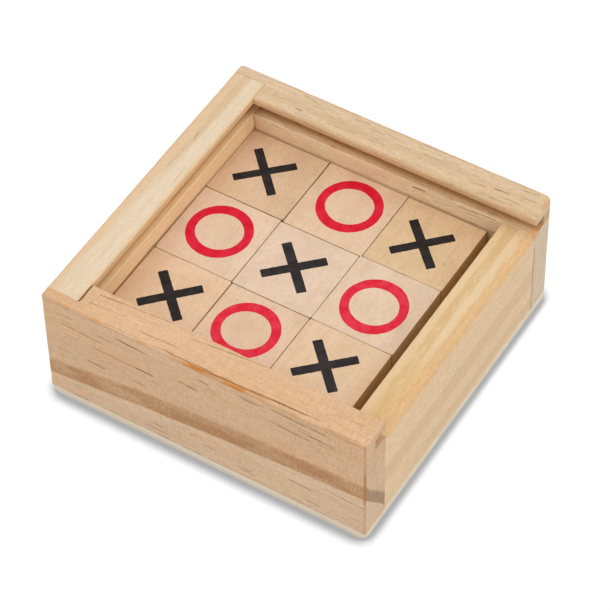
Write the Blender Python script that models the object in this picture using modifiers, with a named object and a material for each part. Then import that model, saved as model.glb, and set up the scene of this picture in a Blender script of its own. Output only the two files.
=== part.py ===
"""Tic tac toe set: a square pine tray with lid grooves, and nine loose wooden blocks.

Metres, +Z up. The origin is at the centre of the tray's underside. X runs from
the closed end wall (left) to the low, open end wall (right). Y runs from the
front wall to the back wall.
"""

import math

import bmesh
import bpy
from mathutils import Matrix

# ---------------------------------------------------------------- tray
TRAY_LENGTH = 0.1000        # X, over the end walls
TRAY_WIDTH = 0.1000         # Y, over the long walls
BASE_THICKNESS = 0.0030
WALL_THICKNESS = 0.0100
WALL_TOP = 0.0403           # top of the three full walls
GROOVE_FLOOR = 0.0343       # floor of the lid groove, and top of the low wall
GROOVE_HEIGHT = 0.0038
GROOVE_DEPTH = 0.0050       # into the long walls
END_GROOVE_DEPTH = 0.0040   # into the closed end wall
REBATE_SKIN = 0.0033        # wood left outside the housed end wall
GLUE_GAP = 0.0002           # between glued faces
WALL_ROUND = 0.0010
LOW_WALL_ROUND = 0.0020
BASE_CORNER_ROUND = 0.0018
BASE_EDGE_ROUND = 0.0006
OVERRUN = 0.004             # how far the cutters run past the wood

HALF_LENGTH = TRAY_LENGTH / 2
HALF_WIDTH = TRAY_WIDTH / 2
INNER_X = HALF_LENGTH - WALL_THICKNESS
INNER_Y = HALF_WIDTH - WALL_THICKNESS
WALL_BOTTOM = BASE_THICKNESS + GLUE_GAP
GROOVE_TOP = GROOVE_FLOOR + GROOVE_HEIGHT

# --------------------------------------------------------------- marks
CROSS_ARM = 0.0184          # end to end
CROSS_STROKE = 0.0027       # width of a stroke
CROSS_ANGLE = 45.0          # degrees, to the block's sides
RING_OUTER_RADIUS = 0.0096
RING_INNER_RADIUS = 0.0067
RING_SIDES = 72
INK_THICKNESS = 0.00010
INK_GAP = 0.00005           # between the block's top and the ink

# -------------------------------------------------------------- blocks
BLOCK_SIZE = (0.0248, 0.0254, 0.0250)   # nominal 25 mm cubes, as sawn
BLOCK_ROUND = 0.0004
REST_GAP = 0.0002           # between the base panel and a block resting on it

# The rows lie towards the back wall and the left column towards the closed end,
# with a little play left between neighbours.
LEFT_X = -0.02720
BACK_Y = 0.0270
MID_Y = 0.00125
FRONT_Y = -0.02465

# Place, block centre (x, y), kind of mark, mark's offset from that centre (x, y),
# and the wood's sRGB colour.
BLOCKS = [
    ("back_left", (LEFT_X, BACK_Y), "x", (-0.0014, 0.0005), (219, 187, 153)),
    ("back_mid", (-0.00185, BACK_Y), "o", (0.00033, 0.00133), (224, 193, 162)),
    ("back_right", (0.02315, BACK_Y), "x", (-0.00058, -0.00037), (222, 189, 150)),
    ("mid_left", (LEFT_X, MID_Y), "o", (-0.0003, 0.0009), (222, 190, 160)),
    ("centre", (-0.00195, MID_Y), "x", (-0.0011, 0.00018), (226, 198, 170)),
    ("mid_right", (0.02305, MID_Y), "o", (-0.00035, -0.00068), (226, 199, 171)),
    ("front_left", (LEFT_X, FRONT_Y), "x", (0.00067, 0.00045), (223, 190, 156)),
    ("front_mid", (-0.00205, FRONT_Y), "o", (-0.0004, 0.00058), (223, 190, 160)),
    ("front_right", (0.02295, FRONT_Y), "x", (-0.00093, 0.00088), (222, 190, 155)),
]

PARTS = "tic_tac_toe_set"
CUTTERS = "cutters"         # holds every boolean helper


# ------------------------------------------------------- scene helpers
def clear_scene():
    for obj in list(bpy.data.objects):
        bpy.data.objects.remove(obj, do_unlink=True)
    for name in (PARTS, CUTTERS):
        if name in bpy.data.collections:
            bpy.data.collections.remove(bpy.data.collections[name])


def make_collection(name):
    collection = bpy.data.collections.new(name)
    bpy.context.scene.collection.children.link(collection)


def make_material(name, srgb, roughness):
    """A Principled BSDF in a colour given as sRGB values from 0 to 255."""
    mat = bpy.data.materials.get(name)
    if mat:
        return mat
    mat = bpy.data.materials.new(name)
    mat.use_nodes = True
    linear = []
    for value in srgb:
        c = value / 255.0
        linear.append(c / 12.92 if c <= 0.04045 else ((c + 0.055) / 1.055) ** 2.4)
    bsdf = mat.node_tree.nodes["Principled BSDF"]
    bsdf.inputs["Base Color"].default_value = (*linear, 1.0)
    bsdf.inputs["Roughness"].default_value = roughness
    mat.diffuse_color = (*linear, 1.0)
    return mat


def add_object(mesh, location=(0, 0, 0), material=None):
    """An object named after its mesh: a part if it has a material, else a helper."""
    obj = bpy.data.objects.new(mesh.name, mesh)
    bpy.data.collections[PARTS if material else CUTTERS].objects.link(obj)
    obj.location = location
    if material:
        mesh.materials.append(material)
    else:
        obj.hide_render = True
        obj.display_type = "WIRE"
    # A mesh left over from an earlier run can hold the plain name.
    return obj


def finish_mesh(bm, name):
    mesh = bpy.data.meshes.new(name)
    bm.to_mesh(mesh)
    bm.free()
    return mesh


def box_mesh(name, size, centre=(0, 0, 0), rounded=None):
    """A box. `rounded` gives each edge's bevel weight.

    It is a function of the edge's midpoint, where x, y and z are each -1, 0 or 1
    from the low side of the box to the high side.
    """
    bm = bmesh.new()
    bmesh.ops.create_cube(bm, size=1.0)
    bmesh.ops.scale(bm, vec=size, verts=bm.verts)
    if rounded:
        weight = bm.edges.layers.float.new("bevel_weight_edge")
        for edge in bm.edges:
            middle = (edge.verts[0].co + edge.verts[1].co) / 2
            edge[weight] = rounded(*(round(2 * middle[i] / size[i]) for i in range(3)))
    bmesh.ops.translate(bm, vec=centre, verts=bm.verts)
    return finish_mesh(bm, name)


def box_object(name, low, high, material=None, rounded=None):
    """A box between two corners, with its origin at its centre."""
    size = [high[i] - low[i] for i in range(3)]
    centre = [(high[i] + low[i]) / 2 for i in range(3)]
    return add_object(box_mesh(name, size, rounded=rounded), centre, material)


def disc_mesh(name, radius, low, high):
    bm = bmesh.new()
    bmesh.ops.create_cone(
        bm, cap_ends=True, cap_tris=False, segments=RING_SIDES,
        radius1=radius, radius2=radius, depth=high - low,
    )
    bmesh.ops.translate(bm, vec=(0, 0, (low + high) / 2), verts=bm.verts)
    return finish_mesh(bm, name)


def add_bevel(obj, width, segments=3):
    mod = obj.modifiers.new("soft_edges", "BEVEL")
    mod.limit_method = "WEIGHT"
    mod.width = width
    mod.segments = segments


def add_boolean(obj, helper, name, operation="DIFFERENCE"):
    mod = obj.modifiers.new(name, "BOOLEAN")
    mod.operation = operation
    mod.solver = "EXACT"
    mod.object = helper


# ---------------------------------------------------------- tray pieces
def base_panel():
    """The plywood base: soft corners, a finer round below, a sharp top edge."""
    edge_weights = {-1: BASE_EDGE_ROUND / BASE_CORNER_ROUND, 0: 1.0, 1: 0.0}
    base = box_object(
        "base_panel",
        (-HALF_LENGTH, -HALF_WIDTH, 0.0),
        (HALF_LENGTH, HALF_WIDTH, BASE_THICKNESS),
        make_material("base_plywood", (224, 208, 182), roughness=0.62),
        rounded=lambda x, y, z: edge_weights[z],
    )
    add_bevel(base, BASE_CORNER_ROUND, segments=4)


def long_wall(name, side, material):
    """A full-length wall; side is -1 for the front and +1 for the back."""

    def rounded(x, y, z):
        """The outer top and upright edges, and the top edges of both ends."""
        outer = y == side
        top = z == 1
        end = x != 0
        return float((outer and top) or (outer and end) or (end and top))

    y_low, y_high = sorted((side * HALF_WIDTH, side * INNER_Y))
    wall = box_object(
        name,
        (-HALF_LENGTH, y_low, WALL_BOTTOM),
        (HALF_LENGTH, y_high, WALL_TOP),
        material,
        rounded,
    )
    add_bevel(wall, WALL_ROUND)

    y_low, y_high = sorted((side * (INNER_Y + GROOVE_DEPTH), side * (INNER_Y - OVERRUN)))
    groove = box_object(
        "cut_" + name + "_groove",
        (-HALF_LENGTH - OVERRUN, y_low, GROOVE_FLOOR),
        (HALF_LENGTH + OVERRUN, y_high, GROOVE_TOP),
    )
    add_boolean(wall, groove, "lid_groove")

    y_low, y_high = sorted((side * (HALF_WIDTH - REBATE_SKIN), side * (INNER_Y - OVERRUN)))
    rebate = box_object(
        "cut_" + name + "_rebate",
        (-HALF_LENGTH - OVERRUN, y_low, BASE_THICKNESS - OVERRUN),
        (-INNER_X, y_high, WALL_TOP + OVERRUN),
    )
    add_boolean(wall, rebate, "end_wall_rebate")


def closed_end_wall():
    """The full-height left wall, housed in the long walls' rebates."""
    housed_y = HALF_WIDTH - REBATE_SKIN - GLUE_GAP
    wall = box_object(
        "closed_end_wall",
        (-HALF_LENGTH, -housed_y, WALL_BOTTOM),
        (-INNER_X - GLUE_GAP, housed_y, WALL_TOP),
        make_material("closed_end_pine", (232, 212, 182), roughness=0.55),
        rounded=lambda x, y, z: float(x == -1 and z == 1),
    )
    add_bevel(wall, WALL_ROUND)
    groove = box_object(
        "cut_closed_end_groove",
        (-INNER_X - END_GROOVE_DEPTH, -HALF_WIDTH - OVERRUN, GROOVE_FLOOR),
        (-INNER_X + OVERRUN, HALF_WIDTH + OVERRUN, GROOVE_TOP),
    )
    add_boolean(wall, groove, "lid_groove")


def open_end_wall():
    """The low right wall, between the long walls and level with the groove floor."""
    wall = box_object(
        "open_end_wall",
        (INNER_X, -INNER_Y + GLUE_GAP, WALL_BOTTOM),
        (HALF_LENGTH, INNER_Y - GLUE_GAP, GROOVE_FLOOR),
        make_material("open_end_pine", (226, 194, 150), roughness=0.55),
        rounded=lambda x, y, z: float(x == 1 and z == 1),
    )
    add_bevel(wall, LOW_WALL_ROUND, segments=4)


# ---------------------------------------------------- blocks and marks
def stroke_mesh(name, angle):
    size = (CROSS_ARM, CROSS_STROKE, INK_THICKNESS)
    mesh = box_mesh(name, size, centre=(0, 0, INK_THICKNESS / 2))
    mesh.transform(Matrix.Rotation(math.radians(angle), 4, "Z"))
    return mesh


def cross_mark(name):
    """Two crossed strokes; returns the mark and the helper joined to it."""
    ink = make_material("black_ink", (42, 43, 48), roughness=0.6)
    mark = add_object(stroke_mesh(name, CROSS_ANGLE), material=ink)
    other = add_object(stroke_mesh("join_" + name, -CROSS_ANGLE))
    add_boolean(mark, other, "second_stroke", "UNION")
    return mark, other


def ring_mark(name):
    """A disc with a hole; returns the mark and the helper that cuts it."""
    ink = make_material("red_ink", (222, 42, 64), roughness=0.55)
    disc = disc_mesh(name, RING_OUTER_RADIUS, 0.0, INK_THICKNESS)
    mark = add_object(disc, material=ink)
    hole = add_object(
        disc_mesh("cut_" + name, RING_INNER_RADIUS, -INK_THICKNESS, 2 * INK_THICKNESS)
    )
    add_boolean(mark, hole, "ring_hole")
    return mark, hole


MARK_BUILDERS = {"x": cross_mark, "o": ring_mark}


def marked_block(place, centre, kind, mark_offset, wood_colour):
    """A block, with its origin under its middle, and the mark on its top face."""
    name = "block_" + place
    block = add_object(
        box_mesh(name, BLOCK_SIZE, (0, 0, BLOCK_SIZE[2] / 2), rounded=lambda x, y, z: 1.0),
        (*centre, BASE_THICKNESS + REST_GAP),
        make_material(name + "_wood", wood_colour, roughness=0.58),
    )
    add_bevel(block, BLOCK_ROUND, segments=2)

    for piece in MARK_BUILDERS[kind](kind + "_mark_" + place):
        piece.parent = block
        piece.location = (*mark_offset, BLOCK_SIZE[2] + INK_GAP)


clear_scene()
make_collection(PARTS)
make_collection(CUTTERS)

base_panel()
long_wall("front_wall", -1, make_material("front_pine", (207, 174, 141), roughness=0.55))
long_wall("back_wall", 1, make_material("back_pine", (219, 190, 154), roughness=0.55))
closed_end_wall()
open_end_wall()
for block_entry in BLOCKS:
    marked_block(*block_entry)

bpy.context.view_layer.update()
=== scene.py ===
import math

import bmesh
import bpy
from mathutils import Matrix, Vector, noise


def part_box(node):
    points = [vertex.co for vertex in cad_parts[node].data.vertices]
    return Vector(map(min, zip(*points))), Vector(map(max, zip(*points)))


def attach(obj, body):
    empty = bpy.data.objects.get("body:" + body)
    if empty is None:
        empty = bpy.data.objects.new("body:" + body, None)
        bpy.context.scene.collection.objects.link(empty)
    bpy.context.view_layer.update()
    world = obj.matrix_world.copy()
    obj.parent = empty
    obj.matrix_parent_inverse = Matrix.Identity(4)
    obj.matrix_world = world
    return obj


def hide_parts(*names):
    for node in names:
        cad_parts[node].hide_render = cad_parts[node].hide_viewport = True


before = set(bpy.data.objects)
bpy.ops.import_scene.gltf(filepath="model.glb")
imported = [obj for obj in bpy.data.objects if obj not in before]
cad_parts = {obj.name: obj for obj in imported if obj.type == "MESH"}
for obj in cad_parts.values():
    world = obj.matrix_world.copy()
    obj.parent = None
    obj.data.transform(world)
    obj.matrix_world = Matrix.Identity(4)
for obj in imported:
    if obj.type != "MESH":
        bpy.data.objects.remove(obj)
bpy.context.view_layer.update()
MM = 0.001

# Heights and depths of the joinery, read off the CAD boxes.
GROOVE_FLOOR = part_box("open_end_wall")[1].z
GROOVE_TOP = GROOVE_FLOOR + 3.8 * MM
INNER_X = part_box("open_end_wall")[0].x
INNER_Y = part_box("back_wall")[0].y
HALF_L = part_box("back_wall")[1].x
HALF_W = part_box("back_wall")[1].y
WALL_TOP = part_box("front_wall")[1].z
BASE_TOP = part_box("base_panel")[1].z

PLACES = ["back_left", "back_mid", "back_right", "mid_left", "centre", "mid_right",
          "front_left", "front_mid", "front_right"]
CROSSES = ["back_left", "back_right", "centre", "front_left", "front_right"]


def srgb(r, g, b):
    out = []
    for v in (r, g, b):
        c = v / 255.0
        out.append(c / 12.92 if c <= 0.04045 else ((c + 0.055) / 1.055) ** 2.4)
    return tuple(out) + (1.0,)


# ------------------------------------------------------------------ node graphs
class Graph:
    """A small writer for shader node trees. Values may be numbers, tuples or sockets."""

    def __init__(self, name):
        self.mat = bpy.data.materials.new(name)
        self.mat.use_nodes = True
        self.nt = self.mat.node_tree
        self.nt.nodes.clear()
        self.out = self.nt.nodes.new("ShaderNodeOutputMaterial")
        self.P = None

    def put(self, socket, value):
        if value is None:
            return
        if isinstance(value, bpy.types.NodeSocket):
            self.nt.links.new(value, socket)
        elif isinstance(value, (tuple, list)) and len(value) == 4 and len(getattr(socket, "default_value", ())) == 3:
            socket.default_value = value[:3]
        else:
            socket.default_value = value

    def node(self, kind, **props):
        n = self.nt.nodes.new(kind)
        for k, v in props.items():
            setattr(n, k, v)
        return n

    def m(self, op, a, b=None, c=None, clamp=False):
        n = self.node("ShaderNodeMath", operation=op, use_clamp=clamp)
        for i, v in enumerate((a, b, c)):
            self.put(n.inputs[i], v)
        return n.outputs[0]

    def add(self, a, b): return self.m("ADD", a, b)
    def sub(self, a, b): return self.m("SUBTRACT", a, b)
    def mul(self, a, b): return self.m("MULTIPLY", a, b)
    def mad(self, a, b, c): return self.m("MULTIPLY_ADD", a, b, c)

    def v(self, op, a, b=None):
        n = self.node("ShaderNodeVectorMath", operation=op)
        self.put(n.inputs[0], a)
        if b is not None:
            self.put(n.inputs[3] if op == "SCALE" else n.inputs[1], b)
        return n.outputs["Value"] if op in ("DOT_PRODUCT", "LENGTH", "DISTANCE") else n.outputs["Vector"]

    def xyz(self, vec):
        n = self.node("ShaderNodeSeparateXYZ")
        self.put(n.inputs[0], vec)
        return n.outputs[0], n.outputs[1], n.outputs[2]

    def combine(self, x, y, z):
        n = self.node("ShaderNodeCombineXYZ")
        for i, v in enumerate((x, y, z)):
            self.put(n.inputs[i], v)
        return n.outputs[0]

    def noise(self, vec, scale=1.0, detail=2.0, rough=0.5, distortion=0.0):
        n = self.node("ShaderNodeTexNoise", noise_dimensions="3D")
        self.put(n.inputs["Vector"], vec)
        self.put(n.inputs["Scale"], scale)
        self.put(n.inputs["Detail"], detail)
        self.put(n.inputs["Roughness"], rough)
        self.put(n.inputs["Distortion"], distortion)
        return n.outputs[0]

    def voronoi(self, vec, scale=1.0, feature="F1"):
        n = self.node("ShaderNodeTexVoronoi", feature=feature)
        self.put(n.inputs["Vector"], vec)
        self.put(n.inputs["Scale"], scale)
        return n.outputs["Distance"]

    def step(self, value, lo, hi, a=0.0, b=1.0):
        """Smooth rise from a to b as value goes from lo to hi."""
        n = self.node("ShaderNodeMapRange", interpolation_type="SMOOTHSTEP")
        for i, v in enumerate((value, lo, hi, a, b)):
            self.put(n.inputs[i], v)
        return n.outputs[0]

    def lin(self, value, lo, hi, a=0.0, b=1.0):
        n = self.node("ShaderNodeMapRange", interpolation_type="LINEAR", clamp=True)
        for i, v in enumerate((value, lo, hi, a, b)):
            self.put(n.inputs[i], v)
        return n.outputs[0]

    def mix(self, fac, a, b, blend="MIX"):
        n = self.node("ShaderNodeMix", data_type="RGBA", blend_type=blend, clamp_factor=True)
        self.put(n.inputs[0], fac)
        self.put(n.inputs[6], a)
        self.put(n.inputs[7], b)
        return n.outputs[2]

    def vrange(self, vec, lo, hi, a, b, smooth=False):
        """Per-lane map range, clamped."""
        n = self.node("ShaderNodeMapRange", data_type="FLOAT_VECTOR", clamp=True,
                      interpolation_type="SMOOTHSTEP" if smooth else "LINEAR")
        for i, v in enumerate((vec, lo, hi, a, b)):
            self.put(n.inputs[6 + i], v)
        return n.outputs[1]

    def near(self, value, centre, half, soft):
        """1 within half of centre, falling to 0 over soft."""
        d = self.m("ABSOLUTE", self.sub(value, centre))
        return self.step(d, half, half + soft, 1.0, 0.0) if not isinstance(half, bpy.types.NodeSocket) else \
            self.step(self.sub(d, half), 0.0, soft, 1.0, 0.0)

    def coords(self):
        tc = self.node("ShaderNodeTexCoord")
        self.P = self.v("SCALE", tc.outputs["Object"], 1000.0)
        self.N = tc.outputs["Normal"]
        self.X, self.Y, self.Z = self.xyz(self.P)
        return self.P

    def finish(self, color, rough=0.55, height=None, bump=0.2, bump_mm=0.1, spec=0.35, sheen=0.0):
        b = self.node("ShaderNodeBsdfPrincipled")
        self.put(b.inputs["Base Color"], color)
        self.put(b.inputs["Roughness"], rough)
        self.put(b.inputs["Specular IOR Level"], spec)
        if height is not None:
            n = self.node("ShaderNodeBump")
            self.put(n.inputs["Strength"], bump)
            self.put(n.inputs["Distance"], bump_mm * MM)
            self.put(n.inputs["Height"], height)
            self.nt.links.new(n.outputs[0], b.inputs["Normal"])
        self.nt.links.new(b.outputs[0], self.out.inputs[0])
        return self.mat


def stretched(g, axis, along, across, offset=(0, 0, 0), skew=None):
    """Coordinates in mm, squeezed so that noise runs long in the grain's direction."""
    s = [across] * 3
    s["XYZ".index(axis)] = along
    vec = g.P
    if skew is not None:
        vec = g.v("ADD", vec, skew)
    return g.v("ADD", g.v("MULTIPLY", vec, tuple(s)), offset)


def pine(name, axis, light, dark, late, seed=0.0, pith=(30.0, -45.0), tilt=(0.01, 0.02), spacing=3.2,
         ring_strength=0.35, fleck=0.75, fleck_col=(118, 88, 60), fleck_low=0.64, fleck_along=0.13,
         fleck_across=2.3, extra=None, end_tint=(0.80, 0.76, 0.74), fibre=0.10, patch=0.6, warm=(226, 160, 96),
         warm_amount=0.12, pebble=0.07, saw=0.0, end_speck=0.45, grain=0.2):
    """Pine sawn along axis: growth rings about a pith line, fine fibres, resin flecks and end grain."""
    g = Graph(name)
    g.coords()
    ax = "XYZ".index(axis)
    along = (g.X, g.Y, g.Z)[ax]
    c1 = (g.Y, g.X, g.X)[ax]
    c2 = g.Z
    off = (seed * 13.7, seed * 5.3, seed * 9.1)

    # A slow wander of the grain off the board's axis.
    wander = g.noise(stretched(g, axis, 0.018, 0.035, off), 1.0, 2.0, 0.5)
    wander2 = g.noise(stretched(g, axis, 0.018, 0.035, (off[1], off[2], off[0])), 1.0, 2.0, 0.5)
    a = g.sub(g.mad(along, tilt[0], c1), pith[0])
    b = g.sub(g.mad(along, tilt[1], c2), pith[1])
    a = g.add(a, g.mul(g.sub(wander, 0.5), 5.0))
    b = g.add(b, g.mul(g.sub(wander2, 0.5), 5.0))
    radius = g.m("SQRT", g.add(g.mul(a, a), g.mul(b, b)))
    width = g.noise(g.combine(g.mul(radius, 0.12), seed, 0.0), 1.0, 1.0, 0.5)
    ring = g.m("FRACT", g.add(g.m("DIVIDE", radius, spacing), g.mul(width, 2.2)))
    lateness = g.mul(g.step(ring, 0.30, 0.90), g.step(ring, 0.93, 1.0, 1.0, 0.0))

    fine = g.noise(stretched(g, axis, 0.05, 3.4, off), 1.0, 3.0, 0.6)
    mid = g.noise(stretched(g, axis, 0.02, 0.55, off), 1.0, 3.0, 0.55)
    broad = g.noise(stretched(g, axis, 0.018, 0.09, off), 1.0, 2.0, 0.5)
    grit = g.noise(stretched(g, axis, 1.3, 2.6, off), 1.0, 2.0, 0.65)
    pebbles = g.noise(stretched(g, axis, 0.42, 1.15, off), 1.0, 3.0, 0.62)
    broken = g.noise(stretched(g, axis, 0.11, 1.9, (off[2], off[1], off[0])), 1.0, 3.0, 0.6)

    col = g.mix(g.mul(g.step(broad, 0.32, 0.68), patch), srgb(*light), srgb(*dark))
    col = g.mix(g.mul(g.step(mid, 0.40, 0.66), 0.35), col, srgb(*dark))
    col = g.mix(g.mul(lateness, ring_strength), col, srgb(*late))
    warmth = g.noise(stretched(g, axis, 0.03, 0.20, (off[2], off[0], off[1])), 1.0, 2.0, 0.5)
    col = g.mix(g.mul(g.step(warmth, 0.5, 0.75), warm_amount), col, srgb(*warm))
    # Fibres: thin light and dark lines, and the small mottle of a sanded face.
    k = g.mad(g.sub(fine, 0.5), fibre * 2.4, 1.0)
    k = g.mad(g.sub(grit, 0.5), grain, k)
    k = g.mad(g.sub(pebbles, 0.5), pebble * 2.6, k)
    k = g.mad(g.sub(broken, 0.5), fibre * 1.6, k)
    if saw:
        # Faint marks of the blade, across the grain and only in places.
        squeeze = [0.24, 0.24, 0.24]
        squeeze[ax] = 2.1
        blade = g.noise(g.v("ADD", g.v("MULTIPLY", g.P, tuple(squeeze)), off), 1.0, 2.0, 0.65)
        where = g.step(g.noise(g.v("ADD", g.P, off), 0.055, 2.0, 0.5), 0.42, 0.62)
        k = g.mad(g.mul(g.sub(blade, 0.5), where), saw, k)
    g.texture = g.combine(k, k, k)
    col = g.mix(1.0, col, g.texture, "MULTIPLY")

    # Short dark resin flecks, in loose clusters.
    f1 = g.noise(stretched(g, axis, fleck_along, fleck_across, off), 1.0, 1.5, 0.5)
    f2 = g.noise(stretched(g, axis, fleck_along * 0.6, fleck_across * 1.5, (off[1], off[0], off[2])), 1.0, 1.0, 0.5)
    cluster = g.step(g.noise(stretched(g, axis, 0.03, 0.22, (off[0] + 7, off[2], off[1])), 1.0, 2.0, 0.5), 0.42, 0.62)
    flecks = g.mul(g.step(f1, fleck_low, fleck_low + 0.09), g.mad(cluster, 0.9, 0.1))
    flecks2 = g.mul(g.step(f2, fleck_low + 0.03, fleck_low + 0.10), g.mad(cluster, 0.5, 0.2))
    flecks = g.m("MAXIMUM", flecks, flecks2)

    # End grain is darker, pinker and speckled with cut fibre ends.
    n_axis = g.m("ABSOLUTE", g.xyz(g.N)[ax])
    end = g.step(n_axis, 0.55, 0.85)
    side = g.sub(1.0, end)
    flecks = g.mul(flecks, side)
    speck = g.noise(g.v("MULTIPLY", g.v("ADD", g.P, off), (1.0, 1.0, 1.0)), 1.6, 2.0, 0.7)
    specks = g.mul(g.step(speck, 0.56, 0.72), g.mul(end, end_speck))
    col = g.mix(g.mul(flecks, fleck), col, srgb(*fleck_col))
    col = g.mix(end, col, g.mix(1.0, col, end_tint + (1.0,), "MULTIPLY"))
    col = g.mix(specks, col, srgb(120, 88, 66))

    g.dents = 0.0
    if extra is not None:
        col = extra(g, col, side, end)

    rough = g.mad(fine, 0.18, 0.50)
    height = g.add(g.mul(fine, 0.5), g.mul(grit, 0.25))
    height = g.sub(height, g.mul(flecks, 0.8))
    height = g.sub(height, g.mul(specks, 0.8))
    height = g.sub(height, g.mul(g.dents, 0.6))
    height = g.add(height, g.mul(lateness, 0.12))
    height = g.add(height, g.mul(pebbles, 0.55))
    return g.finish(col, rough, height, bump=0.4, bump_mm=0.12)


def dashes(g, u, v, items, soft=0.18, wobble=None, widen=0.06):
    """Thin tapered strokes (u0, v0, u1, v1, half width, strength), worked out three at a time."""
    if wobble is not None:
        v = g.add(v, wobble)
    uu, vv = g.combine(u, u, u), g.combine(v, v, v)
    total = None
    for i in range(0, len(items), 3):
        trio = list(items[i:i + 3])
        while len(trio) < 3:
            trio.append((0.0, 900.0, 1.0, 900.0, 0.1, 0.0))
        lane = list(zip(*trio))
        t = g.vrange(uu, lane[0], lane[2], (0, 0, 0), (1, 1, 1))
        n = g.node("ShaderNodeVectorMath", operation="MULTIPLY_ADD")
        g.put(n.inputs[0], t)
        g.put(n.inputs[1], tuple(b - a for a, b in zip(lane[1], lane[3])))
        g.put(n.inputs[2], tuple(lane[1]))
        away = g.v("ABSOLUTE", g.v("SUBTRACT", vv, n.outputs[0]))
        ends = g.v("MULTIPLY", t, g.v("SUBTRACT", (1, 1, 1), t))
        width = g.vrange(ends, (0, 0, 0), (0.12, 0.12, 0.12), (0, 0, 0), tuple(h + widen + 0.5 * soft for h in lane[4]))
        mask = g.vrange(g.v("SUBTRACT", width, away), (0, 0, 0), (soft,) * 3, (0, 0, 0), (1, 1, 1), smooth=True)
        one = g.v("DOT_PRODUCT", mask, tuple(lane[5]))
        total = one if total is None else g.m("MAXIMUM", total, one)
    return total


# ------------------------------------------------------------------ geometry
def cube_bm(low, high):
    bm = bmesh.new()
    bmesh.ops.create_cube(bm, size=1.0)
    size = [high[i] - low[i] for i in range(3)]
    bmesh.ops.scale(bm, vec=size, verts=bm.verts)
    bmesh.ops.translate(bm, vec=[(high[i] + low[i]) / 2 for i in range(3)], verts=bm.verts)
    return bm


def plan_prism(points, z0, z1):
    """An upright board from its outline in plan, given anticlockwise in mm."""
    bm = bmesh.new()
    verts = [bm.verts.new((x * MM, y * MM, z0)) for x, y in points]
    face = bm.faces.new(verts)
    made = bmesh.ops.extrude_face_region(bm, geom=[face])
    for v in made["geom"]:
        if isinstance(v, bmesh.types.BMVert):
            v.co.z = z1
    bmesh.ops.recalc_face_normals(bm, faces=bm.faces)
    return bm


def arc(cx, cy, r, a0, a1, n=7):
    return [(cx + r * math.cos(math.radians(a0 + (a1 - a0) * i / n)), cy + r * math.sin(math.radians(a0 + (a1 - a0) * i / n)))
            for i in range(n + 1)]


def to_object(name, bm):
    me = bpy.data.meshes.new(name)
    bm.to_mesh(me)
    bm.free()
    ob = bpy.data.objects.new(name, me)
    bpy.context.scene.collection.objects.link(ob)
    return ob


def bake_modifiers(ob):
    dg = bpy.context.evaluated_depsgraph_get()
    bpy.context.view_layer.update()
    me = bpy.data.meshes.new_from_object(ob.evaluated_get(dg))
    ob.modifiers.clear()
    old = ob.data
    ob.data = me
    bpy.data.meshes.remove(old)


def cut_boxes(ob, boxes):
    made = []
    for i, (low, high) in enumerate(boxes):
        c = to_object("tmp_cut_%d" % i, cube_bm(low, high))
        mod = ob.modifiers.new("cut", "BOOLEAN")
        mod.operation, mod.solver, mod.object = "DIFFERENCE", "EXACT", c
        made.append(c)
    bake_modifiers(ob)
    for c in made:
        bpy.data.objects.remove(c)


def weighted_bevel(ob, width, weight_of, segments=3):
    """Rounds the sharp edges. weight_of(midpoint, direction) gives each one's radius in mm."""
    bm = bmesh.new()
    bm.from_mesh(ob.data)
    bmesh.ops.dissolve_limit(bm, angle_limit=math.radians(1), verts=bm.verts, edges=bm.edges)
    layer = bm.edges.layers.float.new("bevel_weight_edge")
    for e in bm.edges:
        if len(e.link_faces) == 2 and e.calc_face_angle(0) > math.radians(20):
            mid = (e.verts[0].co + e.verts[1].co) / 2 / MM
            d = (e.verts[1].co - e.verts[0].co).normalized()
            axis = max(range(3), key=lambda i: abs(d[i]))
            e[layer] = min(1.0, weight_of(mid, axis) / width)
    bm.to_mesh(ob.data)
    bm.free()
    mod = ob.modifiers.new("bevel", "BEVEL")
    mod.limit_method = "WEIGHT"
    mod.width = width * MM
    mod.segments = segments
    mod.use_clamp_overlap = True
    bake_modifiers(ob)


def slice_grid(bm, step, low, high, axes=(0, 1, 2)):
    """Cuts the mesh by evenly spaced planes, so that its faces can be worked."""
    for ax in axes:
        n = max(1, int(round((high[ax] - low[ax]) / step)))
        for i in range(1, n):
            co = [0, 0, 0]
            no = [0, 0, 0]
            co[ax] = low[ax] + (high[ax] - low[ax]) * i / n
            no[ax] = 1
            bmesh.ops.bisect_plane(bm, geom=bm.verts[:] + bm.edges[:] + bm.faces[:], dist=1e-7, plane_co=co, plane_no=no)


def fbm(p, scale, seed):
    return noise.noise(Vector((p[0] / scale + seed, p[1] / scale - seed * 0.7, p[2] / scale + seed * 1.3)))


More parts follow.
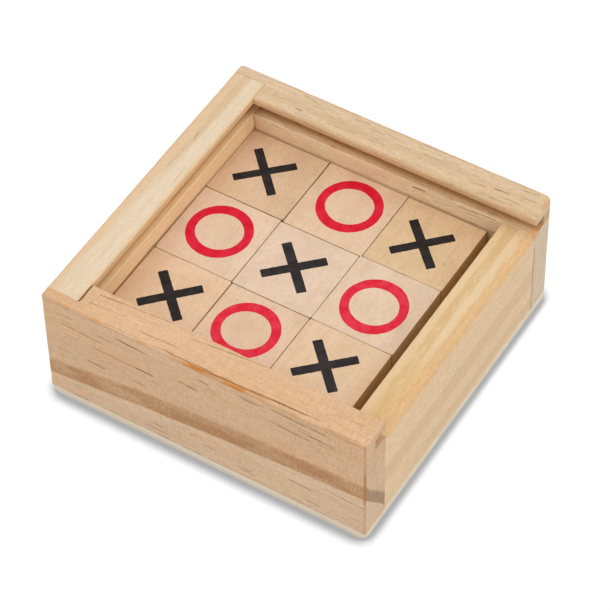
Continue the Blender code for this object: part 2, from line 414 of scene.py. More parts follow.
def work_surface(ob, step, low, high, seed, axis, wave=0.045, fine=0.012, wear=0.16, shape=None, top_flat=False):
    """Gives the planed faces their slight waves and the edges their wear."""
    bm = bmesh.new()
    bm.from_mesh(ob.data)
    slice_grid(bm, step * MM, low, high)
    bm.normal_update()
    moves = []
    lo = [v / MM for v in low]
    hi = [v / MM for v in high]
    for v in bm.verts:
        p = v.co / MM
        q = [p.x, p.y, p.z]
        q[axis] *= 0.22
        d = wave * fbm(q, 6.0, seed) + fine * fbm(q, 1.1, seed + 3)
        gaps = sorted(min(p[i] - lo[i], hi[i] - p[i]) for i in range(3))
        near = max(0.0, 1.0 - gaps[1] / 1.1) if gaps[0] < 0.6 else 0.0
        e = [p.x, p.y, p.z]
        nick = max(0.0, fbm(e, 2.3, seed + 11) - 0.12) * 1.9
        soft = 0.35 + 0.65 * max(0.0, fbm(e, 9.0, seed + 17) + 0.35)
        d -= near * wear * (0.35 * soft + nick)
        if top_flat and v.normal.z > 0.7 and gaps[1] > 0.6:
            d = 0.0
        moves.append(v.normal * min(d, 0.03) * MM)
    for v, mv in zip(bm.verts, moves):
        v.co += mv
        if shape is not None:
            v.co = shape(v.co / MM) * MM
    # Nothing stands outside the board's own box.
    for v in bm.verts:
        for i in range(3):
            v.co[i] = min(max(v.co[i], low[i]), high[i])
    bmesh.ops.remove_doubles(bm, verts=bm.verts, dist=2e-6)
    for f in bm.faces:
        f.smooth = True
    bm.to_mesh(ob.data)
    bm.free()
    mod = ob.modifiers.new("weighted", "WEIGHTED_NORMAL")
    mod.keep_sharp = True
    mod.weight = 60


def finish_piece(ob, material, node, body):
    ob.data.materials.clear()
    ob.data.materials.append(material)
    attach(ob, body)
    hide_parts(node)
    return ob


# ------------------------------------------------------------------ the boards' wood
def line(g, x, pts):
    """A height that follows x through the points given, in mm."""
    out = None
    for (x0, z0), (x1, z1) in zip(pts, pts[1:]):
        seg = g.lin(x, x0, x1, 0.0, z1 - z0)
        out = g.add(z0, seg) if out is None else g.add(out, seg)
    return out


FRONT_FLECKS = [
    (-45.6, 35.9, -39.3, 36.1, 0.10, 0.50), (-28.0, 36.9, -16.0, 36.2, 0.14, 0.80), (-25.5, 36.6, -19.0, 36.4, 0.17, 0.95),
    (-45.0, 33.8, -40.0, 33.5, 0.08, 0.45), (-32.8, 34.3, -27.6, 34.0, 0.10, 0.55), (-45.2, 32.4, -29.0, 31.6, 0.13, 0.70),
    (-1.6, 35.9, 3.0, 35.7, 0.15, 0.85), (1.6, 33.9, 5.0, 33.8, 0.09, 0.50), (-7.4, 31.4, -0.2, 31.1, 0.13, 0.80),
    (-5.0, 30.8, -0.8, 30.7, 0.09, 0.60), (-35.5, 28.2, -14.2, 28.2, 0.13, 0.75), (-21.0, 28.3, -14.6, 28.1, 0.18, 1.00),
    (-43.0, 28.6, -39.4, 28.5, 0.08, 0.40), (-15.3, 25.8, -12.4, 25.6, 0.09, 0.45), (-47.2, 21.3, -41.4, 21.1, 0.10, 0.60),
    (-37.2, 21.6, -30.4, 21.2, 0.16, 0.95), (-22.4, 22.5, -17.6, 22.1, 0.13, 0.70), (10.8, 37.3, 20.4, 37.2, 0.16, 0.60),
    (12.0, 36.7, 18.0, 36.6, 0.13, 0.65), (20.6, 38.1, 40.4, 37.6, 0.11, 0.75), (24.0, 37.5, 33.0, 37.3, 0.10, 0.55),
    (26.4, 35.9, 34.8, 35.4, 0.09, 0.60), (29.0, 34.7, 38.0, 34.4, 0.10, 0.65), (32.0, 34.2, 41.4, 34.0, 0.12, 0.70),
    (19.8, 33.2, 28.0, 32.6, 0.09, 0.60), (22.4, 32.6, 34.6, 32.2, 0.12, 0.75), (35.0, 29.8, 38.0, 29.5, 0.08, 0.45),
    (26.0, 11.7, 34.4, 11.2, 0.12, 0.80), (36.6, 14.8, 44.0, 14.4, 0.09, 0.65), (42.0, 14.4, 50.2, 14.1, 0.10, 0.75),
    (-4.8, 10.9, 0.0, 10.6, 0.09, 0.50), (-0.6, 8.8, 4.0, 8.5, 0.09, 0.55), (-17.2, 7.8, -12.4, 7.6, 0.11, 0.70),
    (-19.0, 5.7, -10.0, 5.3, 0.10, 0.60), (-31.0, 4.0, -25.6, 3.8, 0.10, 0.45), (10.0, 6.6, 15.0, 6.4, 0.09, 0.55),
    (10.4, 5.9, 17.0, 5.7, 0.11, 0.65), (12.0, 7.2, 15.8, 7.1, 0.08, 0.45), (30.4, 6.3, 36.8, 6.0, 0.11, 0.65),
    (-43.0, 8.4, -38.2, 8.1, 0.09, 0.45), (43.6, 7.9, 49.4, 7.6, 0.08, 0.40), (45.0, 5.3, 49.0, 5.1, 0.08, 0.40),
]
FRONT_TOP_FLECKS = [
    (-37.0, -41.9, -29.0, -41.4, 0.14, 0.75), (-36.0, -41.6, -13.0, -40.2, 0.10, 0.60), (-9.6, -42.3, 9.6, -40.7, 0.12, 0.65),
    (1.4, -41.2, 18.4, -39.9, 0.10, 0.60), (-21.4, -47.1, -8.0, -46.4, 0.12, 0.65), (-40.0, -45.6, -24.0, -44.5, 0.10, 0.50),
    (13.6, -48.9, 33.6, -48.5, 0.18, 0.90), (-4.8, -49.9, 17.0, -48.9, 0.14, 0.75), (20.0, -48.6, 37.0, -48.2, 0.13, 0.70),
    (36.0, -49.8, 48.0, -49.2, 0.10, 0.45), (36.6, -44.5, 47.6, -43.9, 0.09, 0.30), (-30.0, -49.3, -18.0, -49.0, 0.09, 0.40),
]


def front_extra(g, col, side, end):
    # A wide brown band of heartwood climbs along the face and shows again, sloping, on the end.
    inward = g.add(g.Y, 50.0)
    depth = g.mad(inward, g.add(0.25, g.mul(end, 1.05)), g.Z)
    lower = line(g, g.X, [(-50, 8.9), (-34, 10.5), (-18, 12.7), (3, 14.7), (17, 15.8), (32, 16.9), (50, 18.2)])
    upper = line(g, g.X, [(-50, 14.4), (-34, 16.7), (-20, 19.0), (-1, 20.7), (16, 22.2), (32, 23.0), (50, 23.5)])
    wob = g.noise(stretched(g, "X", 0.05, 0.25, (3, 8, 1)), 1.0, 3.0, 0.55)
    lower = g.mad(g.sub(wob, 0.5), 0.9, lower)
    ragged = g.noise(stretched(g, "X", 0.35, 0.9, (1, 9, 4)), 1.0, 3.0, 0.6)
    upper = g.mad(g.sub(ragged, 0.5), 2.6, upper)
    rise = g.step(g.sub(depth, lower), -0.3, 0.35)
    fall = g.step(g.sub(depth, upper), -1.0, 0.9, 1.0, 0.0)
    band = g.mul(rise, fall)
    streaks = g.noise(stretched(g, "X", 0.045, 1.5, (5, 2, 4)), 1.0, 3.0, 0.6)
    clouds = g.noise(stretched(g, "X", 0.06, 0.22, (5, 7, 4)), 1.0, 2.0, 0.5)
    mottled = g.noise(g.v("MULTIPLY", g.P, (1.3, 1.0, 0.45)), 1.0, 3.0, 0.65)
    speckle = g.noise(g.v("MULTIPLY", g.P, (2.4, 1.5, 1.5)), 1.0, 3.0, 0.7)
    amount = g.add(g.add(0.42, g.mul(g.step(clouds, 0.35, 0.65), 0.26)),
                   g.add(g.mul(g.sub(streaks, 0.5), 0.3), g.add(g.mul(g.sub(mottled, 0.5), 0.7), g.mul(g.sub(speckle, 0.5), 1.1))))
    amount = g.m("MULTIPLY", band, amount, clamp=True)
    col = g.mix(g.mul(amount, side), col, srgb(164, 102, 32))
    under = g.mul(side, g.step(g.sub(depth, lower), 0.2, -0.8))
    col = g.mix(g.mul(under, 0.7), col, g.mix(1.0, col, (1.02, 1.09, 1.20, 1.0), "MULTIPLY"))
    col = g.mix(g.mul(g.mul(band, end), 0.72), col, srgb(148, 118, 86))
    # Radial lines across the band on the end grain.
    rays = g.noise(g.v("MULTIPLY", g.P, (0.2, 2.6, 0.25)), 1.0, 2.0, 0.6)
    col = g.mix(g.mul(g.mul(end, band), g.step(rays, 0.5, 0.66, 0.0, 0.5)), col, srgb(112, 88, 62))
    below = g.mul(end, g.step(g.sub(depth, lower), 0.3, -0.3, 0.0, 0.5))
    col = g.mix(below, col, srgb(224, 192, 160))
    # Burnished, resinous line along the outer top edge.
    edge = g.mul(g.step(g.Y, -49.1, -49.65), g.step(g.Z, 38.8, 39.5))
    blot = g.noise(stretched(g, "X", 0.10, 0.5, (2, 2, 6)), 1.0, 3.0, 0.6)
    torn = g.noise(stretched(g, "X", 0.5, 2.6, (4, 4, 2)), 1.0, 3.0, 0.65)
    at = g.mad(g.sub(torn, 0.5), 9.0, g.X)
    heavy = g.m("MAXIMUM", g.near(at, -1.8, 2.6, 1.6), g.near(at, 10.6, 2.8, 1.6))
    seam = g.noise(stretched(g, "X", 0.16, 0.3, (4, 1, 2)), 1.0, 3.0, 0.6)
    rim = g.near(g.Y, g.mad(g.sub(seam, 0.5), 0.9, -49.15), 0.10, 0.22)
    rim = g.mul(g.mul(rim, g.step(g.Z, 38.9, 39.4)), g.near(g.X, 4.0, 13.0, 6.0))
    col = g.mix(g.mul(edge, g.step(blot, 0.42, 0.68, 0.10, 0.60)), col, srgb(206, 146, 86))
    col = g.mix(g.mul(g.mul(edge, heavy), g.step(ragged, 0.3, 0.6, 0.45, 0.92)), col, srgb(210, 128, 44))
    col = g.mix(g.mul(rim, 0.7), col, srgb(150, 92, 36))
    # The worn upright edge at the open end has taken on the same colour.
    corner = g.mul(g.step(g.X, 49.2, 49.75), g.step(g.Y, -49.2, -49.75))
    col = g.mix(g.mul(corner, g.add(0.30, g.mul(g.near(g.Z, 22.5, 5.0, 3.0), 0.45))), col, srgb(176, 108, 56))
    # Painted shade in the open joint at the closed end.
    joint = g.mul(g.step(g.X, -39.55, -39.85), g.step(g.Y, -46.8, -46.4))
    col = g.mix(g.mul(joint, 0.75), col, srgb(96, 64, 36))
    # The top is painted brighter and warmer than the front face, a painted highlight on the same board.
    lit = g.step(g.xyz(g.N)[2], 0.5, 0.9)
    col = g.mix(lit, col, g.mix(1.0, col, (1.075, 1.055, 1.03, 1.0), "MULTIPLY"))
    # Resin flecks, where they fall on this board.
    front = g.step(g.xyz(g.N)[1], -0.45, -0.8)
    top = g.step(g.xyz(g.N)[2], 0.3, 0.7)
    small = g.mul(g.sub(streaks, 0.5), 0.5)
    breaks = g.noise(stretched(g, "X", 0.5, 2.4, (8, 2, 1)), 1.0, 2.0, 0.6)
    breaks = g.step(breaks, 0.25, 0.60, 0.35, 1.0)
    f = g.mul(g.mul(dashes(g, g.X, g.Z, FRONT_FLECKS, wobble=small), front), breaks)
    t = g.mul(g.mul(dashes(g, g.X, g.Y, FRONT_TOP_FLECKS, wobble=small, widen=0.03), top), breaks)
    col = g.mix(g.mul(f, 0.95), col, srgb(122, 78, 42))
    col = g.mix(g.mul(t, 0.90), col, srgb(146, 86, 36))
    g.dents = g.m("MAXIMUM", f, t)
    return col


BACK_TOP_FLECKS = [
    (-28.8, 48.6, -23.0, 48.1, 0.13, 0.65), (-26.0, 47.8, -22.0, 47.5, 0.10, 0.45), (-12.4, 47.8, -6.0, 48.4, 0.13, 0.65),
    (-6.6, 46.7, -1.0, 46.9, 0.10, 0.50), (-24.4, 46.2, -20.0, 46.6, 0.12, 0.60), (-28.2, 43.0, -25.6, 43.1, 0.16, 0.75),
    (-15.6, 42.5, -8.0, 43.1, 0.12, 0.65), (-6.4, 43.1, 1.4, 43.4, 0.12, 0.60), (10.4, 46.1, 20.0, 46.3, 0.13, 0.60),
    (16.6, 47.0, 23.0, 47.5, 0.10, 0.50), (40.0, 47.9, 47.2, 48.8, 0.14, 0.75), (33.8, 44.7, 39.4, 45.1, 0.16, 0.85),
    (27.2, 43.8, 32.8, 44.2, 0.12, 0.65), (30.4, 41.0, 38.0, 41.8, 0.13, 0.70), (34.4, 41.0, 42.8, 41.7, 0.13, 0.70),
    (18.0, 39.7, 25.0, 40.3, 0.16, 0.75), (-30.6, 40.4, -25.0, 40.0, 0.13, 0.60), (2.0, 45.4, 8.0, 45.6, 0.08, 0.35),
    (-37.0, 44.2, -31.0, 44.4, 0.09, 0.40), (22.0, 45.2, 27.0, 45.5, 0.09, 0.45), (36.0, 43.0, 44.0, 43.4, 0.10, 0.50),
    (-19.0, 45.0, -13.0, 45.1, 0.08, 0.35), (6.0, 41.4, 14.0, 41.6, 0.08, 0.40), (42.0, 45.6, 48.0, 46.0, 0.10, 0.45),
]
BACK_IN_FLECKS = [
    (11.2, 32.7, 16.0, 33.0, 0.16, 0.95), (25.2, 32.8, 33.0, 33.2, 0.11, 0.75), (29.4, 33.4, 38.6, 33.8, 0.11, 0.70),
    (-35.0, 33.2, -29.0, 33.0, 0.08, 0.35), (-2.0, 31.4, 3.6, 31.6, 0.08, 0.40), (18.0, 31.0, 24.0, 31.3, 0.08, 0.40),
]
BACK_GROOVE_FLECKS = [(36.6, 36.6, 41.8, 37.0, 0.18, 0.90), (42.0, 36.0, 45.6, 36.2, 0.12, 0.55), (0.0, 35.6, 9.0, 36.0, 0.12, 0.40)]


def back_extra(g, col, side, end):
    nx, ny, nz = g.xyz(g.N)
    # A rubbed trace of red below the groove.
    smear = g.noise(g.P, 1.6, 2.0, 0.6)
    spot = g.mul(g.near(g.X, -14.1, 0.3, 1.5), g.near(g.Z, 34.5, 0.15, 0.6))
    spot = g.mul(g.mul(spot, g.step(g.Y, 41.2, 40.6)), g.step(smear, 0.35, 0.55))
    col = g.mix(g.mul(spot, 0.6), col, srgb(214, 96, 78))
    edge = g.mul(g.step(g.Y, 48.8, 49.6), g.step(g.Z, 38.6, 39.4))
    blot = g.noise(stretched(g, "X", 0.07, 0.5, (7, 2, 6)), 1.0, 3.0, 0.6)
    col = g.mix(g.mul(edge, g.step(blot, 0.42, 0.62, 0.05, 0.4)), col, srgb(214, 150, 100))
    # Pinker where the end is let round the corner.
    col = g.mix(g.mul(g.step(g.X, -38.0, -41.0), 0.35), col, srgb(226, 196, 168))
    # Greyed, dusty end grain at the open end, warm just under the groove.
    open_end = g.mul(end, g.step(g.X, 40.0, 49.0))
    dust = g.noise(g.v("MULTIPLY", g.P, (0.8, 0.8, 0.6)), 1.0, 4.0, 0.7)
    col = g.mix(g.mul(open_end, g.step(dust, 0.35, 0.65, 0.45, 0.85)), col, g.mix(1.0, srgb(214, 197, 171), g.texture, "MULTIPLY"))
    tip = g.mul(g.mul(g.step(g.X, 48.0, 49.6), g.near(g.Y, 47.0, 1.0, 1.6)), g.step(g.Z, 38.4, 39.8))
    col = g.mix(g.mul(tip, 0.45), col, srgb(226, 150, 92))
    hot = g.mul(g.near(g.Z, 33.6, 0.5, 1.2), g.mul(g.step(g.X, 46.5, 49.0), g.step(g.Y, 44.5, 42.0)))
    col = g.mix(g.mul(hot, 0.5), col, srgb(224, 160, 110))
    # Below the groove the inner face is made paler and brighter, and the lip above the groove darker and warmer.
    inner = g.mul(g.step(ny, -0.35, -0.75), side)
    below = g.step(g.Z, 34.6, 34.3)
    col = g.mix(g.mul(inner, below), col, g.mix(1.0, col, (1.17, 1.27, 1.38, 1.0), "MULTIPLY"))
    lip = g.mul(g.step(g.Y, 41.1, 40.6), g.step(g.Z, 37.9, 38.2))
    col = g.mix(lip, col, g.mix(1.0, col, (0.93, 0.85, 0.75, 1.0), "MULTIPLY"))
    # Painted light and shade in the groove: darker deep under the lip, a little lighter towards its open edge.
    groove_shade = g.mul(g.step(g.Z, 38.4, 37.9), g.step(g.Z, 34.1, 34.3))
    rough_cut = g.noise(stretched(g, "X", 0.25, 1.1, (6, 3, 8)), 1.0, 3.0, 0.65)
    depth = g.mad(g.sub(rough_cut, 0.5), 1.6, g.Y)
    col = g.mix(groove_shade, col, g.mix(1.0, col, g.mix(g.step(depth, 41.2, 42.7), (1.09, 1.06, 0.95, 1.0), (0.86, 0.72, 0.55, 1.0)), "MULTIPLY"))
    # Painted shade in the groove's corner at the closed end, deepest in its middle.
    nook_shade = g.mul(groove_shade, g.step(g.add(g.X, g.mul(rough_cut, 2.0)), -36.6, -39.0))
    col = g.mix(nook_shade, col, g.mix(1.0, col, (1.02, 0.95, 0.76, 1.0), "MULTIPLY"))
    nook_shade = g.mul(nook_shade, g.step(g.mad(rough_cut, 1.2, g.Z), 35.5, 37.8))
    col = g.mix(g.mul(nook_shade, 0.74), col, srgb(124, 76, 30))
    # Painted shade along the foot of the inner face, where the blocks stand against it.
    wave = g.noise(stretched(g, "X", 0.09, 0.4, (3, 3, 1)), 1.0, 2.0, 0.6)
    contact_shade = g.mul(g.step(g.add(g.Z, g.mul(wave, 1.2)), 30.0, 29.3), g.step(g.Y, 41.0, 40.6))
    col = g.mix(g.mul(contact_shade, 0.40), col, srgb(150, 106, 64))
    # The ragged crack where the two boards meet in the inner corner, darkened with painted shade.
    crack_shade = g.noise(g.v("MULTIPLY", g.P, (2.0, 2.0, 0.9)), 1.0, 3.0, 0.65)
    crack_shade = g.step(g.add(g.m("ABSOLUTE", g.add(g.X, 40.0)), g.mul(crack_shade, 1.1)), 0.55, 0.95, 1.0, 0.0)
    crack_shade = g.mul(crack_shade, g.mul(g.step(g.Y, 40.9, 40.4), g.step(g.Z, 38.6, 38.1)))
    col = g.mix(g.mul(crack_shade, 0.8), col, srgb(92, 58, 28))
    streaks = g.noise(stretched(g, "X", 0.045, 1.5, (5, 2, 4)), 1.0, 3.0, 0.6)
    small = g.mul(g.sub(streaks, 0.5), 0.6)
    breaks = g.noise(stretched(g, "X", 0.5, 2.4, (8, 2, 1)), 1.0, 2.0, 0.6)
    breaks = g.step(breaks, 0.25, 0.60, 0.35, 1.0)
    top = g.step(nz, 0.3, 0.7)
    t = g.mul(g.mul(dashes(g, g.X, g.Y, BACK_TOP_FLECKS, wobble=small, widen=0.01), top), breaks)
    face = g.mul(g.step(ny, -0.3, -0.7), g.step(g.Y, 41.5, 40.8))
    f = g.mul(g.mul(dashes(g, g.X, g.Z, BACK_IN_FLECKS, wobble=small), face), breaks)
    deep = g.mul(g.step(ny, -0.3, -0.7), g.step(g.Y, 43.5, 44.2))
    d = g.mul(dashes(g, g.X, g.Z, BACK_GROOVE_FLECKS, wobble=small), deep)
    col = g.mix(g.mul(t, 0.85), col, srgb(140, 98, 60))
    col = g.mix(g.mul(f, 0.90), col, srgb(118, 76, 38))
    col = g.mix(g.mul(d, 0.85), col, srgb(100, 62, 30))
    g.dents = g.m("MAXIMUM", g.m("MAXIMUM", f, t), d)
    return col


CLOSED_TOP_FLECKS = [
    (18.2, -45.9, 21.6, -46.1, 0.16, 0.75), (5.4, -46.6, 12.6, -46.3, 0.12, 0.60), (0.8, -41.8, 9.4, -42.1, 0.12, 0.60),
    (-6.4, -47.4, -2.0, -47.2, 0.09, 0.45), (13.0, -46.2, 15.4, -46.4, 0.09, 0.45), (-16.4, -43.4, -15.0, -43.0, 0.08, 0.40),
    (27.0, -44.8, 32.0, -44.6, 0.07, 0.30), (24.0, -47.8, 29.0, -47.6, 0.08, 0.30), (-30.0, -44.0, -26.0, -43.9, 0.06, 0.25),
]


def closed_extra(g, col, side, end):
    nx, ny, nz = g.xyz(g.N)
    # The outer part of the top is a warmer ring; the inner part is pale sapwood.
    wob = g.noise(stretched(g, "Y", 0.05, 0.4, (3, 8, 1)), 1.0, 3.0, 0.6)
    bound = g.add(line(g, g.Y, [(-46, -48.0), (-10, -47.4), (20, -45.4), (46, -44.6)]), g.mul(g.sub(wob, 0.5), 3.0))
    warm = g.step(g.sub(g.X, bound), -1.0, 1.2, 1.0, 0.0)
    warm = g.mul(warm, g.step(nx, -0.35, -0.75, 0.80, 0.30))
    col = g.mix(warm, col, g.mix(1.0, srgb(232, 199, 157), g.texture, "MULTIPLY"))
    figure = g.noise(stretched(g, "Y", 0.012, 0.24, (8, 1, 5)), 1.0, 3.0, 0.55)
    outer = g.step(nx, -0.35, -0.75)
    col = g.mix(g.mul(outer, g.step(figure, 0.46, 0.60, 0.0, 0.45)), col, g.mix(1.0, srgb(214, 178, 132), g.texture, "MULTIPLY"))
    stain = g.near(g.X, g.mad(g.sub(wob, 0.5), 2.4, -45.9), 0.4, 1.4)
    stain = g.mul(stain, g.step(g.Y, -10, 20))
    col = g.mix(g.mul(stain, 0.30), col, srgb(206, 172, 128))
    # Below the groove the inner face is made brighter and yellower.
    inner = g.mul(g.step(nx, 0.35, 0.75), g.step(g.Z, 34.6, 34.3))
    col = g.mix(inner, col, g.mix(1.0, col, (1.17, 1.08, 0.91, 1.0), "MULTIPLY"))
    # Painted shade along the foot of the inner face, where the blocks stand against it.
    wave = g.noise(stretched(g, "Y", 0.09, 0.4, (3, 3, 1)), 1.0, 2.0, 0.6)
    contact_shade = g.mul(g.step(g.add(g.Z, g.mul(wave, 1.2)), 29.9, 29.2), g.step(g.X, -41.0, -40.6))
    col = g.mix(g.mul(contact_shade, g.step(g.Y, 32.0, -10.0, 0.15, 0.55)), col, srgb(150, 104, 62))
    lip = g.mul(g.step(g.X, -41.1, -40.6), g.step(g.Z, 37.9, 38.2))
    col = g.mix(lip, col, g.mix(1.0, col, (1.02, 0.90, 0.72, 1.0), "MULTIPLY"))
    # Painted light and shade in the groove: lighter towards its open edge, darker deep under the lip.
    groove_shade = g.mul(g.step(g.Z, 38.4, 37.9), g.step(g.Z, 34.1, 34.3))
    groove_shade = g.mul(groove_shade, g.step(g.X, -45.0, -44.0))
    rough_cut = g.noise(stretched(g, "Y", 0.25, 1.1, (6, 3, 8)), 1.0, 3.0, 0.65)
    depth = g.mad(g.sub(rough_cut, 0.5), -1.2, g.X)
    col = g.mix(groove_shade, col, g.mix(1.0, col, g.mix(g.step(depth, -41.0, -41.9), (1.16, 1.12, 0.91, 1.0), (1.04, 0.92, 0.70, 1.0)), "MULTIPLY"))
    # Painted shade in the groove's corner at the back, deepest in its middle.
    nook_shade = g.mul(groove_shade, g.step(g.sub(g.Y, g.mul(rough_cut, 2.0)), 36.8, 39.2))
    col = g.mix(nook_shade, col, g.mix(1.0, col, (1.02, 0.95, 0.76, 1.0), "MULTIPLY"))
    nook_shade = g.mul(nook_shade, g.step(g.mad(rough_cut, 1.2, g.Z), 35.5, 37.8))
    col = g.mix(g.mul(nook_shade, 0.66), col, srgb(128, 80, 32))
    edge = g.mul(g.step(g.X, -48.9, -49.6), g.step(g.Z, 38.6, 39.6))
    col = g.mix(g.mul(edge, 0.35), col, srgb(226, 176, 128))
    streaks = g.noise(stretched(g, "Y", 0.045, 1.5, (5, 2, 4)), 1.0, 3.0, 0.6)
    small = g.mul(g.sub(streaks, 0.5), 0.5)
    top = g.step(nz, 0.3, 0.7)
    t = g.mul(dashes(g, g.Y, g.X, CLOSED_TOP_FLECKS, wobble=small, widen=0.0), top)
    col = g.mix(g.mul(t, 0.75), col, srgb(164, 122, 78))
    g.dents = t
    return col


def open_extra(g, col, side, end):
    # Yellow summerwood stripes along the top, broken and uneven; orange tint on the rounded edge.
    nx, ny, nz = g.xyz(g.N)
    wob = g.noise(stretched(g, "Y", 0.06, 0.35, (9, 8, 1)), 1.0, 3.0, 0.6)
    blot = g.noise(stretched(g, "Y", 0.12, 0.55, (2, 5, 7)), 1.0, 3.0, 0.6)
    u = g.add(g.X, g.mul(g.sub(wob, 0.5), 2.6))
    top = g.step(nz, 0.35, 0.8)
    far = g.step(g.Y, -22.0, 0.0)
    s1 = g.mul(g.near(u, 43.6, 0.9, 1.0), g.step(blot, 0.36, 0.58, 0.35, 1.0))
    s2 = g.mul(g.near(u, 47.6, 0.4, 0.8), g.step(blot, 0.60, 0.42, 0.1, 1.0))
    s2 = g.mul(s2, g.step(g.Y, 0.0, -12.0))
    s3 = g.mul(g.near(u, 45.6, 0.5, 1.0), g.step(g.Y, -8.0, -18.0))
    pale = g.mul(g.near(u, 46.4, 0.8, 1.1), far)
    rim = g.near(g.X, 41.0, 0.7, 0.8)
    col = g.mix(g.mul(g.mul(s1, top), 0.50), col, srgb(216, 176, 112))
    col = g.mix(g.mul(g.mul(s2, top), 0.55), col, srgb(214, 172, 108))
    col = g.mix(g.mul(g.mul(s3, top), 0.35), col, srgb(220, 178, 112))
    col = g.mix(g.mul(g.mul(pale, top), 0.60), col, srgb(240, 214, 174))
    col = g.mix(g.mul(g.mul(rim, top), 0.50), col, srgb(240, 208, 162))
    arris = g.mul(g.step(g.add(g.X, g.mul(g.sub(blot, 0.5), 2.4)), 46.6, 48.0), g.step(g.Z, 31.4, 32.6))
    col = g.mix(g.mul(arris, g.step(blot, 0.35, 0.65, 0.50, 0.95)), col, g.mix(1.0, srgb(233, 187, 133), g.texture, "MULTIPLY"))
    # Soft tan bands on the outer face, which is pinker than the top.
    face = g.mul(g.step(nx, 0.45, 0.85), g.step(g.Z, 32.9, 31.9))
    col = g.mix(g.mul(face, 0.80), col, g.mix(1.0, srgb(230, 198, 159), g.texture, "MULTIPLY"))
    z = g.add(g.Z, g.mul(g.sub(wob, 0.5), 2.4))
    band = g.near(z, 17.6, 2.4, 2.0)
    low = g.mul(g.near(z, 6.6, 1.3, 1.4), g.step(g.Y, -42.0, -5.0))
    high = g.mul(g.near(z, 28.8, 0.2, 0.7), g.step(g.Y, 18.0, 30.0))
    band = g.m("MAXIMUM", band, g.m("MAXIMUM", g.mul(low, 0.9), g.mul(high, 0.5)))
    col = g.mix(g.mul(g.mul(band, face), 0.45), col, srgb(210, 174, 132))
    # A brushed nap slanting across the face, and a few scratches in it.
    slant = g.combine(g.X, g.mad(g.Z, 0.7, g.Y), g.Z)
    nap = g.noise(g.v("MULTIPLY", slant, (1.0, 1.5, 0.45)), 1.0, 4.0, 0.7)
    n1 = g.mad(g.sub(nap, 0.5), 0.26, 1.0)
    col = g.mix(face, col, g.mix(1.0, col, g.combine(n1, n1, n1), "MULTIPLY"))
    inner = g.step(nx, -0.45, -0.85)
    col = g.mix(g.mul(inner, 0.6), col, g.mix(1.0, col, (0.96, 0.86, 0.72, 1.0), "MULTIPLY"))
    return col


FRONT = pine("front_pine_wood", "X", (224, 187, 149), (215, 174, 134), (201, 158, 114), seed=1.0, pith=(-9.0, -70.0),
             tilt=(0.0, -0.085), spacing=6.5, ring_strength=0.14, fleck=0.40, fleck_col=(134, 100, 70),
             fleck_low=0.66, extra=front_extra, fibre=0.10, warm_amount=0.2, pebble=0.11, saw=0.36,
             end_tint=(0.95, 0.97, 1.0), end_speck=0.6, grain=0.55)
BACK = pine("back_pine_wood", "X", (231, 202, 166), (218, 186, 146), (198, 162, 118), seed=2.3, pith=(12.0, 74.0),
            tilt=(0.02, 0.03), spacing=4.2, ring_strength=0.20, fleck=0.40, fleck_col=(148, 114, 80),
            fleck_low=0.62, extra=back_extra, fibre=0.11, warm_amount=0.12, pebble=0.12,
            end_tint=(0.92, 0.90, 0.90), end_speck=0.6, grain=0.46)
CLOSED = pine("closed_end_wood", "Y", (239, 218, 189), (232, 207, 174), (218, 185, 144), seed=3.1, pith=(-30.0, 90.0),
              tilt=(0.02, 0.0), spacing=7.0, ring_strength=0.12, fleck=0.30, fleck_col=(176, 142, 100),
              fleck_low=0.68, extra=closed_extra, fibre=0.08, warm_amount=0.1, pebble=0.08, grain=0.30)
OPEN = pine("open_end_wood", "Y", (235, 203, 157), (227, 191, 141), (212, 172, 114), seed=4.4, pith=(30.0, 78.0),
            tilt=(0.01, 0.02), spacing=5.0, ring_strength=0.14, fleck=0.2, fleck_col=(186, 146, 96),
            fleck_low=0.68, extra=open_extra, fibre=0.10, warm_amount=0.15, pebble=0.14, grain=0.38)


def base_wood():
    """Thin sheet: pale faces with long grain, and three plies showing on the edges."""
    g = Graph("base_sheet_wood")
    g.coords()
    fine = g.noise(stretched(g, "X", 0.05, 2.6, (4, 4, 4)), 1.0, 3.0, 0.6)
    broad = g.noise(stretched(g, "X", 0.02, 0.12, (6, 4, 4)), 1.0, 2.0, 0.5)
    col = g.mix(g.step(broad, 0.35, 0.65), srgb(240, 229, 211), srgb(234, 219, 195))
    pores = g.noise(stretched(g, "X", 0.2, 3.0, (1, 2, 3)), 1.0, 1.0, 0.5)
    col = g.mix(g.mul(g.step(pores, 0.66, 0.75), 0.4), col, srgb(170, 140, 104))
    up = g.m("ABSOLUTE", g.xyz(g.N)[2])
    edge = g.step(up, 0.6, 0.3)
    ply = g.near(g.Z, g.mad(g.sub(broad, 0.5), 0.3, 1.5), 0.45, 0.12)
    speck = g.noise(g.P, 1.8, 3.0, 0.7)
    core = g.mix(g.step(speck, 0.42, 0.62), srgb(234, 222, 200), srgb(220, 204, 176))
    col = g.mix(g.mul(g.mul(edge, ply), 0.6), col, core)
    glue = g.m("MAXIMUM", g.near(g.Z, 1.02, 0.02, 0.1), g.near(g.Z, 2.0, 0.02, 0.1))
    col = g.mix(g.mul(g.mul(edge, glue), 0.35), col, srgb(188, 168, 124))
    # A fine mottle of paler and darker grain over the whole sheet.
    k = g.mad(g.sub(fine, 0.5), 0.16, 1.0)
    col = g.mix(1.0, col, g.combine(k, k, k), "MULTIPLY")
    return g.finish(col, g.mad(fine, 0.15, 0.55), g.add(fine, g.mul(speck, 0.3)), bump=0.25, bump_mm=0.08)


